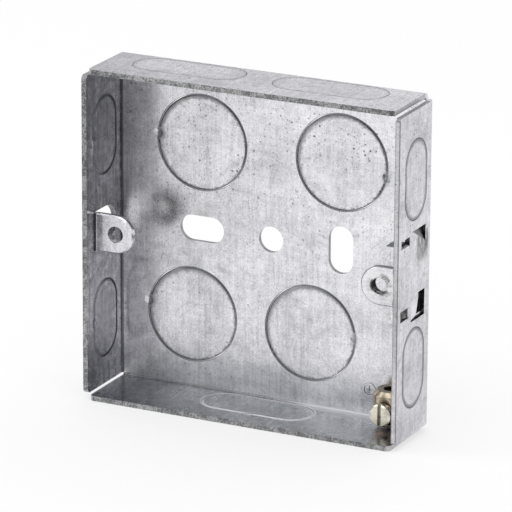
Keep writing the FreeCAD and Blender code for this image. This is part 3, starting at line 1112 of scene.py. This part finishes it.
@dataclass
class Studio:
    """White floor, white surround, soft lamps, the cards that the metal mirrors and the camera."""

    floor_level: float = -36.0 * MM
    floor_size: float = 8.0
    floor_colour: Colour = (0.95, 0.95, 0.95)
    floor_glow: float = 0.6
    surround: float = 0.85
    surround_colour: Colour = (1.0, 1.0, 1.0)
    rays: Tuple[str, ...] = ("Is Camera Ray", "Is Glossy Ray", "Is Transmission Ray")
    front: float = -16.6 * MM
    distance: float = 918.0 * MM
    azimuth: float = 26.37
    elevation: float = 17.77
    roll: float = 0.26
    focal_pixels: float = 4497.0
    frame_pixels: float = 512.0
    centre_pixel: Pair = (237.6, 259.9)
    sensor: float = 36.0
    nearest: float = 0.01
    farthest: float = 50.0
    lamps: Tuple[Softbox, ...] = (
        Softbox("left_softbox", (-1.0, -0.4, 0.8), 0.7, 0.7, 2.2),
        Softbox("top_softbox", (0.1, -0.25, 1.0), 0.8, 0.8, 2.2),
    )
    cards: Tuple[Card, ...] = (
        Card(
            "right_card",
            (
                (0.05, -0.02, -0.035),
                (0.0, -0.09, -0.035),
                (0.0, -0.6, -0.035),
                (0.6, -0.6, -0.035),
                (0.6, -0.02, -0.035),
            ),
            (0.15, 0.15, 0.153),
        ),
        Card(
            "back_card",
            ((0.0365, -0.0165, -0.035), (0.6, -0.0165, -0.035), (0.6, 0.7, -0.035), (0.0365, 0.7, -0.035)),
            (0.77, 0.77, 0.775),
        ),
        Card(
            "window_card",
            (
                (-0.06, -0.062, -0.024),
                (-0.06, -0.048, -0.024),
                (-0.06, -0.048, -0.01),
                (-0.06, -0.062, -0.01),
            ),
            (0.3, 0.3, 0.305),
        ),
        Card(
            "back_screen",
            ((-1.2, 0.8, 0.02), (-1.2, 0.8, 0.9), (0.2, 0.8, 0.9), (0.2, 0.8, 0.02)),
            (0.73, 0.73, 0.74),
        ),
        Card(
            "left_screen",
            ((-0.7, -0.6, 0.06), (0.0, -0.6, 0.06), (0.0, -0.6, 0.7), (-0.7, -0.6, 0.7)),
            (0.385, 0.425, 0.42),
        ),
        Card(
            "right_screen",
            ((0.0, -0.6, 0.03), (0.6, -0.6, 0.03), (0.6, -0.6, 0.7), (0.0, -0.6, 0.7)),
            (0.11, 0.125, 0.123),
        ),
    )

    def build(self) -> None:
        """Sets up everything that isn't the object."""
        self.floor()
        for card in self.cards:
            self.card(card)
        self.world()
        for lamp in self.lamps:
            self.lamp(lamp)
        self.camera()
        bpy.context.scene.view_settings.view_transform = "Standard"

    def seen(self, desk: ShaderDesk) -> Value:
        """Factor that is 1 for rays from the camera, a mirror or clear glass."""
        path = desk.node("ShaderNodeLightPath", {}, {}).outputs
        return largest([Value(desk, path[ray]) for ray in self.rays])

    @staticmethod
    def flat(name: str, corners: Sequence[Point], finish: bpy.types.Material) -> bpy.types.Mesh:
        """Makes one flat sheet.

        Args:
            name: Name of the sheet.
            corners: Its corners in order.
            finish: Its material.

        Returns:
            Its mesh.
        """
        mesh = bpy.data.meshes.new(name)
        mesh.from_pydata(corners, [], [list(range(len(corners)))])
        mesh.materials.append(finish)
        return mesh

    def floor(self) -> None:
        """Adds the white floor, which keeps a soft shadow."""
        half = self.floor_size / 2.0
        outline = ((-half, -half), (half, -half), (half, half), (-half, half))
        corners = [(x, y, self.floor_level) for x, y in outline]
        desk = ShaderDesk(bpy.data.materials.new("white_floor"))
        matt = desk.node("ShaderNodeBsdfDiffuse", {}, {"Color": desk.colour(self.floor_colour)})
        glow = desk.node("ShaderNodeEmission", {}, {})
        shares = {0: self.seen(desk) * self.floor_glow, 1: matt.outputs["BSDF"], 2: glow.outputs["Emission"]}
        mix = desk.node("ShaderNodeMixShader", {}, shares)
        mesh = self.flat("floor", corners, desk.surface(mix.outputs["Shader"]))
        linked("floor", mesh)

    def card(self, card: Card) -> None:
        """Adds one card, hidden from the camera and from shadows.

        Args:
            card: Its corners and its colour.
        """
        desk = ShaderDesk(bpy.data.materials.new(card.name))
        matt = desk.node("ShaderNodeBsdfDiffuse", {}, {"Color": desk.colour(card.colour)})
        mesh = self.flat(card.name, card.corners, desk.surface(matt.outputs["BSDF"]))
        piece = linked(card.name, mesh)
        piece.visible_camera = False
        piece.visible_diffuse = False
        piece.visible_shadow = False
        piece.visible_transmission = False

    def world(self) -> None:
        """Surrounds the box with white, a little dimmer as a light than as a background."""
        world = bpy.data.worlds.new("white_surround")
        bpy.context.scene.world = world
        desk = ShaderDesk(world)
        levels = {"Value": self.seen(desk), "To Min": self.surround, "To Max": 1.0}
        strength = desk.value("ShaderNodeMapRange", {}, levels)
        light = {"Color": desk.colour(self.surround_colour), "Strength": strength}
        background = desk.node("ShaderNodeBackground", {}, light)
        desk.node("ShaderNodeOutputWorld", {}, {"Surface": background.outputs["Background"]})

    @staticmethod
    def lamp(softbox: Softbox) -> None:
        """Adds one soft lamp.

        Args:
            softbox: Its place, size and power.
        """
        light = bpy.data.lights.new(softbox.name, "AREA")
        light.shape = "RECTANGLE"
        light.size = softbox.width
        light.size_y = softbox.height
        light.energy = softbox.watts
        piece = linked(softbox.name, light)
        piece.location = softbox.place
        piece.rotation_euler = (-Vector(softbox.place)).to_track_quat("-Z", "Y").to_euler()

    def camera(self) -> None:
        """Sets the camera at the photograph's viewing angle."""
        azimuth, elevation = math.radians(self.azimuth), math.radians(self.elevation)
        roll = math.radians(self.roll)
        ahead = math.cos(elevation)
        back = Vector((math.sin(azimuth) * ahead, -math.cos(azimuth) * ahead, math.sin(elevation)))
        level = Vector((math.cos(azimuth), math.sin(azimuth), 0.0))
        upright = back.cross(level)
        right = level * math.cos(roll) + upright * math.sin(roll)
        up = upright * math.cos(roll) - level * math.sin(roll)
        front_centre = Vector((0.0, self.front, 0.0))
        eye = front_centre + back * self.distance
        metres = self.distance / self.focal_pixels
        half = self.frame_pixels / 2.0
        aside = right * (half - self.centre_pixel[0]) * metres
        above = up * (self.centre_pixel[1] - half) * metres
        aim = front_centre + aside + above
        away = (eye - aim).normalized()
        side = up.cross(away).normalized()
        over = away.cross(side)
        lens = bpy.data.cameras.new("camera")
        lens.sensor_width = self.sensor
        lens.lens = self.focal_pixels / self.frame_pixels * self.sensor
        lens.clip_start = self.nearest
        lens.clip_end = self.farthest
        piece = linked("camera", lens)
        turn = Matrix((side, over, away)).transposed().to_4x4()
        piece.matrix_world = Matrix.Translation(eye) @ turn
        bpy.context.scene.camera = piece


def main() -> None:
    """Builds the box's looks and the studio."""
    logging.basicConfig(level=logging.INFO, format="%(name)s: %(message)s")
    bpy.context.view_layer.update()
    sheet = GalvanisedSheet().material()
    plating = PlatedSteel().material()
    BoxShell().build(sheet, ThreadForm(sheet))
    AdjustableLug().build(plating, ThreadForm(plating))
    EarthTerminal().build()
    Studio().build()


if __name__ == "__main__":
    main()
